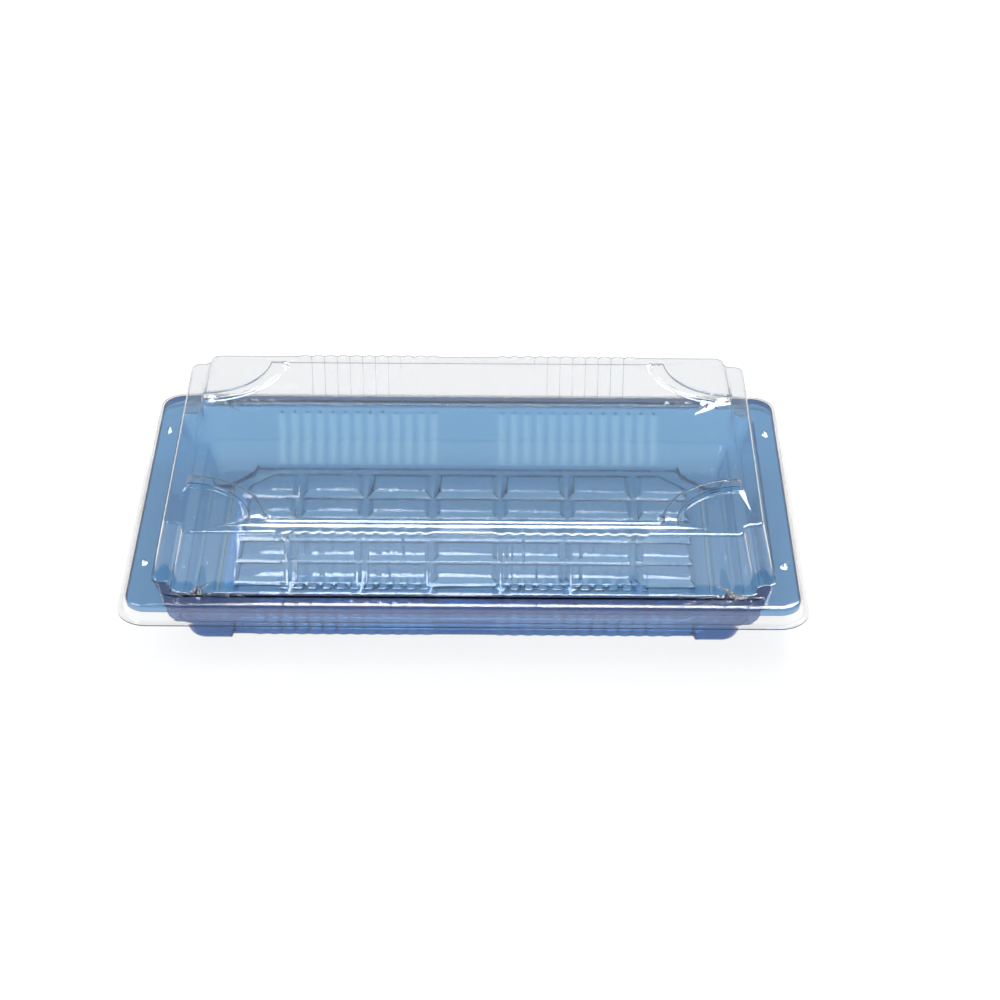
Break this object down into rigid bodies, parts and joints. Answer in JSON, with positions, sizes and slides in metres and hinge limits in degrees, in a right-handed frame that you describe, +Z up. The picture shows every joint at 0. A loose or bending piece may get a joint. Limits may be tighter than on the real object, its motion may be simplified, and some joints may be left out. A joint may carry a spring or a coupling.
{
  "type": "humidity dome tray",
  "caption": "Shallow rectangular tray of thin tinted see-through sheet with a cell-ribbed floor and corner feet, under a clear fluted lift-off dome with a skirt over the rim.",
  "frame": {"origin": "centre of the tray, on the surface that its four corner feet stand on", "axes": "+X along the tray's length, +Y across its width, +Z up through the dome"},
  "size_m": [0.222, 0.14, 0.0456],
  "materials": {
    "tray_sheet": "gloss",
    "dome_sheet": "gloss"
  },
  "bodies": {
    "tray": {"tray": "tray_sheet"},
    "dome": {"dome": "dome_sheet"}
  },
  "joints": [
    {"name": "dome_lift", "type": "slide", "parent": "tray", "child": "dome", "axis": [0, 0, 1], "range_m": [0, 0.06]}
  ]
}
